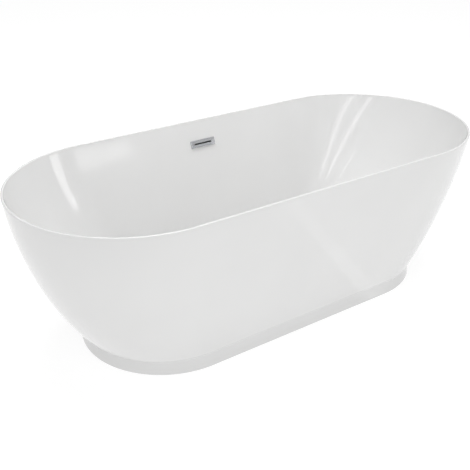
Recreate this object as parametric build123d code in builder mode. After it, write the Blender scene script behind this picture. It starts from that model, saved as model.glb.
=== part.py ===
from build123d import *
import math
import os

# Freestanding acrylic bathtub: two skins joined at a thin rim, on a hidden steel frame with six
# levelling feet, with a slotted overflow, a click-clack waste and a low trap.
# Millimetres. X runs along the bath, Z is up, and the origin is on the floor under its middle.

# ---- driving dimensions ----
LENGTH = 1700
WIDTH = 760
HEIGHT = 550
RIM = 7                 # the two skins together, at the rim
SKIN = 5                # each skin, below the rim
RIM_FADE = 30           # depth over which the skins thin out towards the rim
LIP = 8                 # depth of the rolled lip that caps both skins
END_RADIUS = 1000       # upright curve of the outside end walls
END_LEAN = 5            # their lean at the rim, degrees from upright
SIDE_SLOPE = 0.194      # outside side walls, sideways over upright
WALL_FOOT = 50          # height of the bottom edge of the tapered wall
PLINTH_TOP = 43.5
PLINTH_TOP_HALF = (653, 279.5)
PLINTH_HALF = (659, 287)
PLINTH_FLANGE = 20      # flange turned in at the bottom of the skirt

FLOOR = 115             # inside floor of the basin
BASIN_END_RADIUS = 900
BASIN_END_LEAN = 16
BASIN_SIDE_SLOPE = math.tan(math.radians(18))
BASIN_FILLET = 90

WASTE_X = 0
OVERFLOW_X = 0
OVERFLOW_DROP = 83      # below the rim, to the middle of the plate

TUBE = 25
TUBE_WALL = 2
BOARD = 12
RAIL_Y = 110
CROSS_X = {"head": 470, "middle": -130, "foot": -470}
CROSS_HALF = 235
FOOT_Y = 200
STUD_R = 6
RUN = 0.05              # radial clearance of a sliding or turning fit
GAP = 0.2               # clearance between glued or stacked pieces

os.makedirs("parts", exist_ok=True)


def save(part, name):
    """Label one piece and write its STEP file."""
    part.label = name
    export_step(part, f"parts/{name}.step")


# ---- wall curves: half length and half width of each stadium section, at height z ----
def outer_half(z, inset=0):
    """Outside of the tapered wall, moved inwards by inset."""
    lean = math.radians(END_LEAN)
    centre_x = LENGTH / 2 - END_RADIUS * math.cos(lean)
    centre_z = HEIGHT + END_RADIUS * math.sin(lean)
    half_length = centre_x + math.sqrt((END_RADIUS - inset) ** 2 - (centre_z - z) ** 2)
    across = math.sqrt(1 + SIDE_SLOPE**2)
    half_width = WIDTH / 2 - SIDE_SLOPE * (HEIGHT - z) - inset * across
    return half_length, half_width


def basin_half(z, grow=0):
    """Inside of the basin, moved outwards by grow: a wall, then a fillet down to the floor."""
    fillet_z = FLOOR + BASIN_FILLET
    lean = math.radians(BASIN_END_LEAN)
    centre_x = LENGTH / 2 - RIM - BASIN_END_RADIUS * math.cos(lean)
    centre_z = HEIGHT + BASIN_END_RADIUS * math.sin(lean)
    reach = BASIN_END_RADIUS - BASIN_FILLET
    fillet_x = centre_x + math.sqrt(reach**2 - (centre_z - fillet_z) ** 2)
    meet_x = centre_z - (BASIN_END_RADIUS + grow) * (centre_z - fillet_z) / reach

    across = math.sqrt(1 + BASIN_SIDE_SLOPE**2)
    wall_y = WIDTH / 2 - RIM - BASIN_SIDE_SLOPE * (HEIGHT - fillet_z)
    fillet_y = wall_y - BASIN_FILLET * across
    meet_y = fillet_z - (BASIN_FILLET + grow) * BASIN_SIDE_SLOPE / across

    rise = min(max(fillet_z - z, 0), BASIN_FILLET + grow)
    turn = math.sqrt((BASIN_FILLET + grow) ** 2 - rise**2)
    if z >= meet_x:
        half_length = centre_x + math.sqrt((BASIN_END_RADIUS + grow) ** 2 - (centre_z - z) ** 2)
    else:
        half_length = fillet_x + turn
    if z >= meet_y:
        half_width = WIDTH / 2 - RIM - BASIN_SIDE_SLOPE * (HEIGHT - z) + grow * across
    else:
        half_width = fillet_y + turn
    return half_length, half_width


def rim_share(z):
    """0 at the rim, 1 where both skins have their full thickness."""
    return min(1, max(0, (HEIGHT - z) / RIM_FADE))


def basin_skin(z):
    return RIM / 2 + (SKIN - RIM / 2) * rim_share(z)


def shell_skin(z):
    return RIM / 2 - 2 * GAP + (SKIN - RIM / 2 + 2 * GAP) * rim_share(z)


def stadium(z, half):
    """One section, a sketch on its own plane."""
    with BuildSketch(Plane.XY.offset(z)) as section:
        SlotOverall(2 * half[0], 2 * half[1])
    return section.sketch


def stadium_loft(heights, half_at, ruled=False):
    """Solid through the stadium sections at the given heights."""
    return loft([stadium(z, half_at(z)) for z in heights], ruled=ruled, mode=Mode.PRIVATE)


def bowl_heights(grow, top):
    """Section heights of a bowl: close together round the fillet, wide apart up the wall."""
    radius = BASIN_FILLET + grow
    round_part = [FLOOR + BASIN_FILLET - radius * math.cos(math.radians(a)) for a in (0, 12, 26, 42, 60)]
    wall_part = [220, 300, 380, 450, HEIGHT - RIM_FADE - 5, HEIGHT - LIP]
    return round_part + [z for z in wall_part if z < top] + [top]


# ---- the two skins ----
WALL_HEIGHTS = [WALL_FOOT, 130, 220, 310, 400, 470, HEIGHT - RIM_FADE - 5]
LIP_FOOT = HEIGHT - LIP

cavity = stadium_loft(bowl_heights(0, HEIGHT), basin_half)
basin_back = stadium_loft(
    bowl_heights(SKIN, LIP_FOOT + 1),
    lambda z: basin_half(z, basin_skin(z)),
)
lip_blank = stadium_loft([LIP_FOOT, HEIGHT - LIP / 2, HEIGHT], outer_half)
WASTE_RECESS_R = 37.5
WASTE_RECESS = 2
THROAT_R = 21
LIP_ROUND = 3.1
OVERFLOW_TILT = 18      # lean of the overflow wall, degrees
OVERFLOW_HOLE_X = 80
OVERFLOW_HOLE_Y = 12
overflow_z = HEIGHT - OVERFLOW_DROP
overflow_y = basin_half(overflow_z)[1]
# local Z of this plane points out of the wall, into the bath, and its local Y points up the wall
overflow_plane = Plane(
    origin=(OVERFLOW_X, overflow_y, overflow_z),
    x_dir=(-1, 0, 0),
    z_dir=(0, -math.cos(math.radians(OVERFLOW_TILT)), math.sin(math.radians(OVERFLOW_TILT))),
)

with BuildPart() as inner_basin:
    add(basin_back)
    add(lip_blank)
    add(cavity, mode=Mode.SUBTRACT)
    fillet(inner_basin.edges().group_by(Axis.Z)[-1], LIP_ROUND)
    with BuildSketch(Plane.XY.offset(FLOOR + 1)):
        with Locations((WASTE_X, 0)):
            Circle(WASTE_RECESS_R)
    extrude(amount=-(WASTE_RECESS + 1), mode=Mode.SUBTRACT)
    with Locations((WASTE_X, 0, FLOOR)):
        Hole(THROAT_R + 1, depth=2 * SKIN)
    with BuildSketch(overflow_plane.offset(5)):
        SlotOverall(OVERFLOW_HOLE_X, OVERFLOW_HOLE_Y)
    extrude(amount=-3 * SKIN, mode=Mode.SUBTRACT)
save(inner_basin.part, "inner_basin")

plinth_outside = {
    0: PLINTH_HALF,
    PLINTH_TOP: PLINTH_TOP_HALF,
    WALL_FOOT: outer_half(WALL_FOOT),
}
plinth_inside = {
    SKIN: (PLINTH_HALF[0] - SKIN, PLINTH_HALF[1] - SKIN),
    PLINTH_TOP: (PLINTH_TOP_HALF[0] - SKIN, PLINTH_TOP_HALF[1] - SKIN),
    WALL_FOOT: outer_half(WALL_FOOT, SKIN),
}
shell_top = LIP_FOOT - GAP
with BuildPart() as outer_shell:
    add(stadium_loft(WALL_HEIGHTS + [shell_top], outer_half))
    add(stadium_loft([0, PLINTH_TOP, WALL_FOOT], lambda z: plinth_outside[z], ruled=True))
    add(
        stadium_loft(WALL_HEIGHTS + [shell_top], lambda z: outer_half(z, shell_skin(z))),
        mode=Mode.SUBTRACT,
    )
    add(
        stadium_loft([SKIN, PLINTH_TOP, WALL_FOOT], lambda z: plinth_inside[z], ruled=True),
        mode=Mode.SUBTRACT,
    )
    with BuildSketch(Plane.XY):
        flange_inset = SKIN + PLINTH_FLANGE
        SlotOverall(2 * (PLINTH_HALF[0] - flange_inset), 2 * (PLINTH_HALF[1] - flange_inset))
    extrude(amount=SKIN + 1, mode=Mode.SUBTRACT)
save(outer_shell.part, "outer_shell")

# ---- adhesive bead between the skins, just under the rim ----
BOND_TOP = HEIGHT - 42
BOND_FOOT = HEIGHT - 62
BOND_GAP = 0.5
with BuildPart() as rim_bond:
    add(stadium_loft([BOND_FOOT, BOND_TOP], lambda z: outer_half(z, SKIN + BOND_GAP), ruled=True))
    add(
        stadium_loft([BOND_FOOT, BOND_TOP], lambda z: basin_half(z, SKIN + BOND_GAP), ruled=True),
        mode=Mode.SUBTRACT,
    )
save(rim_bond.part, "rim_bond")

# ---- floor board ----
SCREW_R = 2.5
SCREW_HEAD = 3
BOARD_SCREW_X = (-380, -90, 90, 380)
BOARD_SCREW_BITE = 9.5
board_places = [(x, y) for x in BOARD_SCREW_X for y in (-RAIL_Y, RAIL_Y)]
BOARD_TOP = FLOOR - SKIN - GAP
BOARD_FOOT = BOARD_TOP - BOARD
BOARD_LENGTH = 990
BOARD_WIDTH = 300
BOARD_CORNER = 70
WASTE_CUT_OUT_R = 47
WASTE_BODY_R = 25
WASTE_COLLAR_R = 39
WASTE_COLLAR = 3
with BuildPart() as floor_board:
    with BuildSketch(Plane.XY.offset(BOARD_FOOT)):
        RectangleRounded(BOARD_LENGTH, BOARD_WIDTH, BOARD_CORNER)
        with Locations((WASTE_X, 0)):
            Circle(WASTE_CUT_OUT_R, mode=Mode.SUBTRACT)
    extrude(amount=BOARD)
    with BuildSketch(Plane.XY.offset(BOARD_FOOT)):
        with Locations(*board_places):
            Circle(SCREW_R + RUN)
    extrude(amount=BOARD_SCREW_BITE, mode=Mode.SUBTRACT)
save(floor_board.part, "floor_board")

# ---- steel frame ----
RAIL_TOP = BOARD_FOOT - GAP
RAIL_FOOT = RAIL_TOP - TUBE
RAIL_LENGTH = 2 * CROSS_X["head"] + TUBE
CROSS_TOP = RAIL_FOOT
CROSS_FOOT = CROSS_TOP - TUBE
TUBE_CORNER = 3
STUD_HOLE_R = STUD_R + 0.5
FRAME_SCREW_Y = 224
FRAME_SCREW_BITE = 22


def square_tube(length, centre, along):
    """Hollow square tube with small corners, about its centre point, in the direction along."""
    with BuildPart() as tube:
        with BuildSketch(Plane(origin=centre, x_dir=(0, 0, 1), z_dir=along)):
            RectangleRounded(TUBE, TUBE, TUBE_CORNER)
            offset(amount=-TUBE_WALL, mode=Mode.SUBTRACT)
        extrude(amount=length / 2, both=True)
    return tube.part


for side, sign in {"left": -1, "right": 1}.items():
    with BuildPart() as rail:
        add(square_tube(RAIL_LENGTH, (0, sign * RAIL_Y, RAIL_FOOT + TUBE / 2), (1, 0, 0)))
        with Locations(*[(x, sign * RAIL_Y, RAIL_TOP) for x in BOARD_SCREW_X]):
            Hole(SCREW_R + RUN, depth=TUBE)
    save(rail.part, f"rail_{side}")

for place, x in CROSS_X.items():
    with BuildPart() as cross_member:
        add(square_tube(2 * CROSS_HALF, (x, 0, CROSS_FOOT + TUBE / 2), (0, 1, 0)))
        with Locations((x, FOOT_Y, CROSS_FOOT + TUBE_WALL), (x, -FOOT_Y, CROSS_FOOT + TUBE_WALL)):
            Hole(STUD_HOLE_R, depth=2 * TUBE_WALL)
        with Locations((x, FRAME_SCREW_Y, CROSS_TOP), (x, -FRAME_SCREW_Y, CROSS_TOP)):
            Hole(SCREW_R + RUN, depth=TUBE)
    save(cross_member.part, f"cross_member_{place}")


def screw_group(places, head_z, length):
    """Pan-head screws standing head down at the given places."""
    with BuildPart() as screws:
        with BuildSketch(Plane.XY.offset(head_z)):
            with Locations(*places):
                Circle(SCREW_R)
        extrude(amount=length)
        with BuildSketch(Plane.XY.offset(head_z - SCREW_HEAD)):
            with Locations(*places):
                Circle(2 * SCREW_R)
        extrude(amount=SCREW_HEAD)
        chamfer(screws.faces().sort_by(Axis.Z)[: len(places)].edges(), 1)
    return screws.part


save(screw_group(board_places, RAIL_FOOT - RUN, TUBE + BOARD_SCREW_BITE - 0.5), "board_screws")
foot_places = [(x, y) for x in CROSS_X.values() for y in (-FOOT_Y, FOOT_Y)]
block_places = [(x, math.copysign(FRAME_SCREW_Y, y)) for x, y in foot_places]
save(screw_group(block_places, CROSS_FOOT - RUN, TUBE + FRAME_SCREW_BITE), "frame_screws")

# ---- wooden blocks glued to the inside of the skirt, over the ends of the cross members ----
BLOCK = 30
BLOCK_X = 44
BLOCK_REACH = 20         # how far a block's blank runs past its cross member, before it is cut to the skirt
shell_inside = stadium_loft([WALL_FOOT, WALL_HEIGHTS[1]], lambda z: outer_half(z, SKIN + GAP), ruled=True)
for number, (x, y) in enumerate(foot_places, start=1):
    with BuildPart() as anchor_block:
        with BuildSketch(Plane.XY.offset(CROSS_TOP)):
            with Locations((x, math.copysign(CROSS_HALF + BLOCK_REACH, y))):
                Rectangle(BLOCK_X, 2 * BLOCK + BLOCK_REACH)
        extrude(amount=BLOCK)
        add(shell_inside, mode=Mode.INTERSECT)
        with Locations((x, math.copysign(FRAME_SCREW_Y, y), CROSS_TOP)):
            Hole(SCREW_R + RUN, depth=FRAME_SCREW_BITE + 0.5)
    save(anchor_block.part, f"anchor_block_{number}")

# ---- levelling feet ----
NUT_FLATS = 19
WELD_NUT = 8
LOCK_NUT = 7
LOCK_NUT_TOP = CROSS_FOOT - WELD_NUT - 0.5
PAD_R = 25
PAD_HEIGHT = 13
PAD_RIM = 4
PAD_NECK_R = 12
STUD_FOOT = 5
STUD_TOP = CROSS_FOOT + 14
COLLAR_FOOT = PAD_HEIGHT + 1.5
COLLAR = 5


def nut_group(places, foot, thickness):
    """Hexagon nuts on the studs at the given places."""
    with BuildPart() as nuts:
        with BuildSketch(Plane.XY.offset(foot)):
            with Locations(*places):
                RegularPolygon(NUT_FLATS / 2, 6, major_radius=False)
                Circle(STUD_R + RUN, mode=Mode.SUBTRACT)
        extrude(amount=thickness)
    return nuts.part


save(nut_group(foot_places, CROSS_FOOT - WELD_NUT, WELD_NUT), "weld_nuts")
save(nut_group(foot_places, LOCK_NUT_TOP - LOCK_NUT, LOCK_NUT), "lock_nuts")

socket_r = STUD_R + RUN
socket_foot = STUD_FOOT - RUN
for number, (x, y) in enumerate(foot_places, start=1):
    with BuildPart() as foot_stud:
        with BuildSketch(Plane.XY.offset(STUD_FOOT)):
            with Locations((x, y)):
                Circle(STUD_R)
        extrude(amount=STUD_TOP - STUD_FOOT)
        chamfer(foot_stud.edges().group_by(Axis.Z)[-1], 1)
        with BuildSketch(Plane.XY.offset(COLLAR_FOOT)):
            with Locations((x, y)):
                RegularPolygon(NUT_FLATS / 2, 6, major_radius=False)
        extrude(amount=COLLAR)
    save(foot_stud.part, f"foot_stud_{number}")

    with BuildPart() as foot_pad:
        with BuildSketch(Plane.XZ) as pad_profile:
            with BuildLine():
                Polyline(
                    (0, 0),
                    (PAD_R, 0),
                    (PAD_R, PAD_RIM),
                    (PAD_NECK_R, PAD_HEIGHT),
                    (socket_r, PAD_HEIGHT),
                    (socket_r, socket_foot),
                    (0, socket_foot),
                    close=True,
                )
            make_face()
        revolve(axis=Axis.Z)
    save(foot_pad.part.moved(Location((x, y, 0))), f"foot_pad_{number}")

# ---- waste: flange, gaskets, click-clack plug ----
SEAT = FLOOR - WASTE_RECESS
GASKET = 0.8
FLANGE = 2.2
FLANGE_TOP = SEAT + GASKET + FLANGE
FLANGE_R = 35
THROAT_BORE = 19
THROAT_FOOT = 66
LOWER_GASKET = 3
COLLAR_TOP = FLOOR - SKIN - LOWER_GASKET - GAP
HUB_Z = 96
HUB_R = 8
CARTRIDGE_R = 6
CARTRIDGE = 30
CARTRIDGE_FOOT = HUB_Z - 14
STEM_R = 3
PLUG_TRAVEL = 9
PLUG_R = 32
PLUG_EDGE = 2
PLUG_CROWN = 6
SEAL = 2
PLUG_FOOT = FLANGE_TOP + PLUG_TRAVEL + SEAL + 0.3
SPIDER = 6
SPIDER_ARM = 4


def ring(foot, height, outside, inside, x=WASTE_X, y=0):
    """Flat ring about an upright axis."""
    with BuildPart() as flat_ring:
        with BuildSketch(Plane.XY.offset(foot)):
            with Locations((x, y)):
                Circle(outside)
                Circle(inside, mode=Mode.SUBTRACT)
        extrude(amount=height)
    return flat_ring.part


with BuildPart() as waste_flange:
    with BuildSketch(Plane.XY.offset(THROAT_FOOT)):
        Circle(THROAT_R)
    extrude(amount=FLANGE_TOP - THROAT_FOOT)
    with BuildSketch(Plane.XY.offset(FLANGE_TOP - FLANGE)):
        Circle(FLANGE_R)
    extrude(amount=FLANGE)
    fillet(waste_flange.edges().group_by(Axis.Z)[-1], 1.2)
    with BuildSketch(Plane.XY.offset(THROAT_FOOT)):
        Circle(THROAT_BORE)
    extrude(amount=FLANGE_TOP - THROAT_FOOT, mode=Mode.SUBTRACT)
    with BuildSketch(Plane.XY.offset(HUB_Z)):
        Circle(HUB_R)
        Rectangle(2 * THROAT_BORE + 1, SPIDER_ARM)
        Rectangle(SPIDER_ARM, 2 * THROAT_BORE + 1)
        Circle(CARTRIDGE_R + RUN, mode=Mode.SUBTRACT)
    extrude(amount=SPIDER)
save(waste_flange.part, "waste_flange")
save(ring(SEAT, GASKET, FLANGE_R - 1, THROAT_R + 1), "flange_gasket")
save(ring(COLLAR_TOP + 0.1, LOWER_GASKET, WASTE_COLLAR_R - 1, THROAT_R + 1), "lower_gasket")

with BuildPart() as click_cartridge:
    with BuildSketch(Plane.XY.offset(CARTRIDGE_FOOT)):
        Circle(CARTRIDGE_R)
    extrude(amount=CARTRIDGE)
    with BuildSketch(Plane.XY.offset(HUB_Z + SPIDER)):
        Circle(CARTRIDGE_R + 2)
    extrude(amount=3)
    with BuildSketch(Plane.XY.offset(CARTRIDGE_FOOT + 3)):
        Circle(STEM_R + RUN)
    extrude(amount=CARTRIDGE, mode=Mode.SUBTRACT)
save(click_cartridge.part, "click_cartridge")

with BuildPart() as plug_stem:
    with BuildSketch(Plane.XY.offset(HUB_Z - 1)):
        Circle(STEM_R)
    extrude(amount=PLUG_FOOT + 1 - HUB_Z)
save(plug_stem.part, "plug_stem")

with BuildPart() as plug_cap:
    with BuildSketch(Plane.XZ) as cap_profile:
        with BuildLine():
            rim_point = (PLUG_R, PLUG_FOOT + PLUG_EDGE)
            crown = (0, PLUG_FOOT + PLUG_CROWN)
            Polyline(crown, (0, PLUG_FOOT), (PLUG_R - 1, PLUG_FOOT), rim_point)
            TangentArc(crown, rim_point, tangent=(1, 0))
        make_face()
    revolve(axis=Axis.Z)
save(plug_cap.part, "plug_cap")
save(ring(PLUG_FOOT - SEAL, SEAL, PLUG_R - 4, THROAT_BORE + 2), "plug_seal")

# ---- waste body with its two ports ----
PORT_Z = 58
PORT_R = 10.8
PORT_BORE = 8.5
PORT_END = 48
DRAIN_R = 20
DRAIN_BORE = 17.5
DRAIN_END = 52
BODY_FOOT = 34
BODY_FLOOR = 3
BODY_BORE = THROAT_R + 0.3
with BuildPart() as waste_body:
    with BuildSketch(Plane.XY.offset(BODY_FOOT)):
        Circle(WASTE_BODY_R)
    extrude(amount=COLLAR_TOP - BODY_FOOT)
    with BuildSketch(Plane.XY.offset(COLLAR_TOP - WASTE_COLLAR)):
        Circle(WASTE_COLLAR_R)
    extrude(amount=WASTE_COLLAR)
    with BuildSketch(Plane.XZ):
        with Locations((OVERFLOW_X, PORT_Z)):
            Circle(PORT_R)
    extrude(amount=-PORT_END)
    with BuildSketch(Plane.YZ):
        with Locations((0, PORT_Z)):
            Circle(DRAIN_R)
    extrude(amount=DRAIN_END)
    with BuildSketch(Plane.XY.offset(BODY_FOOT + BODY_FLOOR)):
        Circle(BODY_BORE)
    extrude(amount=COLLAR_TOP - BODY_FOOT, mode=Mode.SUBTRACT)
    with BuildSketch(Plane.XZ):
        with Locations((OVERFLOW_X, PORT_Z)):
            Circle(PORT_BORE)
    extrude(amount=-PORT_END, mode=Mode.SUBTRACT)
    with BuildSketch(Plane.YZ):
        with Locations((0, PORT_Z)):
            Circle(DRAIN_BORE)
    extrude(amount=DRAIN_END, mode=Mode.SUBTRACT)
save(waste_body.part, "waste_body")

# ---- low trap beside the waste body ----
TRAP_X = 125
TRAP_R = 45
TRAP_WALL = 3
TRAP_FOOT = 12
TRAP_TOP = 80
INLET_R = 20
OUTLET_R = 17.3
OUTLET_BORE = 15
OUTLET_END = TRAP_X + TRAP_R + 24
LID = 5
BAFFLE = 3
BAFFLE_RISE = 16        # gap under the baffle, above the trap's foot
with BuildPart() as trap_canister:
    with BuildSketch(Plane.XY.offset(TRAP_FOOT)):
        with Locations((TRAP_X, 0)):
            Circle(TRAP_R)
    extrude(amount=TRAP_TOP - TRAP_FOOT)
    with BuildSketch(Plane.YZ.offset(DRAIN_END + 2)):
        with Locations((0, PORT_Z)):
            Circle(INLET_R)
    extrude(amount=TRAP_X - DRAIN_END - 2)
    with BuildSketch(Plane.YZ.offset(TRAP_X)):
        with Locations((0, PORT_Z)):
            Circle(OUTLET_R)
    extrude(amount=OUTLET_END - TRAP_X)
    with BuildSketch(Plane.XY.offset(TRAP_FOOT + TRAP_WALL)):
        with Locations((TRAP_X, 0)):
            Circle(TRAP_R - TRAP_WALL)
    extrude(amount=TRAP_TOP - TRAP_FOOT, mode=Mode.SUBTRACT)
    with BuildSketch(Plane.YZ.offset(DRAIN_END)):
        with Locations((0, PORT_Z)):
            Circle(OUTLET_BORE)
    extrude(amount=OUTLET_END - DRAIN_END, mode=Mode.SUBTRACT)
save(trap_canister.part, "trap_canister")

# ---- outlet elbow: it turns the waste down to the pipe in the floor ----
ELBOW_R = 20
ELBOW_BORE = 17.5
ELBOW_BEND = 25
ELBOW_START = TRAP_X + TRAP_R + 3
ELBOW_X = OUTLET_END + 3 + ELBOW_BEND
ELBOW_FOOT = 6
with BuildPart() as outlet_elbow:
    with BuildLine() as elbow_route:
        FilletPolyline(
            (ELBOW_START, 0, PORT_Z),
            (ELBOW_X, 0, PORT_Z),
            (ELBOW_X, 0, ELBOW_FOOT),
            radius=ELBOW_BEND,
        )
    with BuildSketch(Plane.YZ.offset(ELBOW_START)):
        with Locations((0, PORT_Z)):
            Circle(ELBOW_R)
            Circle(ELBOW_BORE, mode=Mode.SUBTRACT)
    sweep()
save(outlet_elbow.part, "outlet_elbow")

with BuildPart() as trap_lid:
    with BuildSketch(Plane.XY.offset(TRAP_TOP + 0.1)):
        with Locations((TRAP_X, 0)):
            RegularPolygon(TRAP_R + 3, 12)
    extrude(amount=LID)
    with BuildSketch(Plane.XY.offset(TRAP_TOP - LID)):
        with Locations((TRAP_X, 0)):
            Circle(TRAP_R - TRAP_WALL - GAP)
    extrude(amount=LID + 0.1)
save(trap_lid.part, "trap_lid")

with BuildPart() as trap_baffle:
    with BuildSketch(Plane.XY.offset(TRAP_FOOT + BAFFLE_RISE)):
        with Locations((TRAP_X, 0)):
            Rectangle(BAFFLE, 2 * (TRAP_R - TRAP_WALL - 3 * GAP))
    extrude(amount=TRAP_TOP - LID - 0.1 - TRAP_FOOT - BAFFLE_RISE)
save(trap_baffle.part, "trap_baffle")

TRAP_NUT = 24
with BuildPart() as trap_nut:
    with BuildSketch(Plane.YZ.offset(DRAIN_END - TRAP_NUT / 2)):
        with Locations((0, PORT_Z)):
            RegularPolygon(DRAIN_R + 4, 8)
            Circle(DRAIN_R + GAP, mode=Mode.SUBTRACT)
    extrude(amount=TRAP_NUT)
save(trap_nut.part, "trap_nut")

# ---- overflow: chrome plate, flat channel between the skins, hose ----
PLATE_X = 102
PLATE_Y = 28
PLATE = 4
PLATE_STAND_OFF = 0.6
PLATE_BORDER = 3.5
PLATE_SINK = 0.8
SLOT_X = 72
SLOT_Y = 5
with BuildPart() as overflow_cover:
    with BuildSketch(overflow_plane.offset(PLATE_STAND_OFF)):
        RectangleRounded(PLATE_X, PLATE_Y, 2)
    extrude(amount=PLATE)
    with BuildSketch(overflow_plane.offset(PLATE_STAND_OFF + PLATE)):
        RectangleRounded(PLATE_X - 2 * PLATE_BORDER, PLATE_Y - 2 * PLATE_BORDER, 1)
    extrude(amount=-PLATE_SINK, mode=Mode.SUBTRACT)
    with BuildSketch(overflow_plane):
        RectangleRounded(SLOT_X, SLOT_Y, 1)
    extrude(amount=PLATE + 2, mode=Mode.SUBTRACT)
save(overflow_cover.part, "overflow_cover")

with BuildPart() as overflow_gasket:
    with BuildSketch(overflow_plane.offset(0.05)):
        RectangleRounded(PLATE_X - 4, PLATE_Y - 4, 2)
        SlotOverall(OVERFLOW_HOLE_X, OVERFLOW_HOLE_Y, mode=Mode.SUBTRACT)
    extrude(amount=0.5)
save(overflow_gasket.part, "overflow_gasket")

CHANNEL_X = 88
CHANNEL_TOP = overflow_z + 10
CHANNEL_KNEE = 350
CHANNEL_FOOT = 285
CHANNEL_WALL = 1
SPIGOT_BORE = 8.5
HOSE_R = 13
HOSE_BORE = 11
SPIGOT = 26


def between_skins(z, share):
    """Y between the back of the basin (0) and the inside of the skirt (1), on the long side."""
    near = basin_half(z, SKIN)[1] + 0.5
    far = outer_half(z, SKIN)[1] - 0.5
    return near + (far - near) * share


def channel_outline(inset):
    """Side view of the channel: it follows the basin's back and widens towards its foot."""
    top = CHANNEL_TOP - inset
    foot = CHANNEL_FOOT + inset
    with BuildSketch(Plane.YZ.offset(OVERFLOW_X)) as outline:
        with BuildLine():
            Polyline(
                (between_skins(foot, 0) + inset, foot),
                (between_skins(top, 0) + inset, top),
                (between_skins(top, 1) - inset, top),
                (between_skins(CHANNEL_KNEE, 0) + 9 - inset, CHANNEL_KNEE),
                (between_skins(foot, 1) - 1 - inset, foot + 25),
                (between_skins(foot, 1) - 1 - inset, foot),
                close=True,
            )
        make_face()
    return outline.sketch


hose_top_y = between_skins(CHANNEL_FOOT, 0.5)
hose_slope = (hose_top_y - between_skins(FLOOR + BASIN_FILLET, 0.5)) / (CHANNEL_FOOT - FLOOR - BASIN_FILLET)
corner_y = hose_top_y - hose_slope * (CHANNEL_FOOT - PORT_Z)
hose_dir = Vector(0, -hose_slope, -1).normalized()
spigot_top = Vector(OVERFLOW_X, hose_top_y, CHANNEL_FOOT)
spigot_plane = Plane(origin=spigot_top - hose_dir * 4, x_dir=(1, 0, 0), z_dir=hose_dir)
with BuildPart() as overflow_body:
    extrude(channel_outline(0), amount=CHANNEL_X / 2, both=True)
    with BuildSketch(spigot_plane):
        Circle(HOSE_BORE - GAP)
    extrude(amount=SPIGOT)
    hollow_x = CHANNEL_X / 2 - CHANNEL_WALL
    extrude(channel_outline(CHANNEL_WALL), amount=hollow_x, both=True, mode=Mode.SUBTRACT)
    with BuildSketch(spigot_plane):
        Circle(SPIGOT_BORE)
    extrude(amount=SPIGOT + 1, mode=Mode.SUBTRACT)
    with BuildSketch(overflow_plane.offset(-SKIN)):
        SlotOverall(OVERFLOW_HOLE_X - 2, OVERFLOW_HOLE_Y - 2)
    extrude(amount=-3, mode=Mode.SUBTRACT)
save(overflow_body.part, "overflow_body")

HOSE_BEND = 118
HOSE_NUT = 12
HOSE_END_Y = PORT_END - 14
hose_start = spigot_top + hose_dir * 5
with BuildPart() as overflow_hose:
    with BuildLine() as hose_route:
        FilletPolyline(
            hose_start,
            (OVERFLOW_X, corner_y, PORT_Z),
            (OVERFLOW_X, HOSE_END_Y, PORT_Z),
            radius=HOSE_BEND,
        )
    with BuildSketch(Plane(origin=hose_start, z_dir=hose_dir)):
        Circle(HOSE_R)
        Circle(HOSE_BORE, mode=Mode.SUBTRACT)
    sweep()
save(overflow_hose.part, "overflow_hose")
hose_section = math.pi * (HOSE_R**2 - HOSE_BORE**2)
with BuildPart() as hose_nut_upper:
    with BuildSketch(Plane(origin=hose_start + hose_dir * 0.5, x_dir=(1, 0, 0), z_dir=hose_dir)):
        RegularPolygon(HOSE_R + 1.5, 10)
        Circle(HOSE_R + GAP, mode=Mode.SUBTRACT)
    extrude(amount=HOSE_NUT)
save(hose_nut_upper.part, "hose_nut_upper")

with BuildPart() as hose_nut_lower:
    with BuildSketch(Plane.XZ.offset(-HOSE_END_Y - 1)):
        with Locations((OVERFLOW_X, PORT_Z)):
            RegularPolygon(HOSE_R + 1.5, 10)
            Circle(HOSE_R + GAP, mode=Mode.SUBTRACT)
    extrude(amount=-HOSE_NUT)
save(hose_nut_lower.part, "hose_nut_lower")
hose_length = sum(edge.length for edge in hose_route.line.edges())
print("hose length", hose_length, "bend", HOSE_BEND)
print("hose volume over section times length", overflow_hose.part.volume / hose_section / hose_length)
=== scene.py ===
import bmesh
import bpy
import numpy as np
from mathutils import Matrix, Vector


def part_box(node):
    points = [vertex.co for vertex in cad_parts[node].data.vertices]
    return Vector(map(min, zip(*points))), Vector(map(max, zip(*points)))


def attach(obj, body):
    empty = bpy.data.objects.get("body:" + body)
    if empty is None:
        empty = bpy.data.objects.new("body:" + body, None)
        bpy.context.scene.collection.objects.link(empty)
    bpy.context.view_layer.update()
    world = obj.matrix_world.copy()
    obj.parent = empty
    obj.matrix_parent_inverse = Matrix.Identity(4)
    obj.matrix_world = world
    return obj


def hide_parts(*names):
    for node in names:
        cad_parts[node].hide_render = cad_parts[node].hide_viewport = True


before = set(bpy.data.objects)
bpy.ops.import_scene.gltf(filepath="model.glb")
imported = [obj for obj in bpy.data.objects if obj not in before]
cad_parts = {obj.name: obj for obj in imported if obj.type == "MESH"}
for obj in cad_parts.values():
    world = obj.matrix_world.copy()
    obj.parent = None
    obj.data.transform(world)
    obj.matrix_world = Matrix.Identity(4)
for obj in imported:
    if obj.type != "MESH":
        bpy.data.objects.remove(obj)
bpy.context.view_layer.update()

# ---- basin ----
# The inner skin: one sheet of white acrylic, vacuum-formed over a mould and backed with glass
# fibre. Its rim is rolled over the skirt's top edge and polished, so both read as one thin lip.
LENGTH = 1.700
WIDTH = 0.760
HEIGHT = 0.550
RIM = 0.007
SKIN = 0.005
RIM_FADE = 0.030
LIP = 0.008
FLOOR = 0.115
FLOOR_FALL = 0.0025
END_RADIUS = 1.000
END_LEAN = np.radians(5)
SIDE_SLOPE = 0.194
BASIN_END_RADIUS = 0.900
BASIN_END_LEAN = np.radians(16)
BASIN_SIDE_LEAN = np.radians(18)
BASIN_FILLET = 0.090
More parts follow.
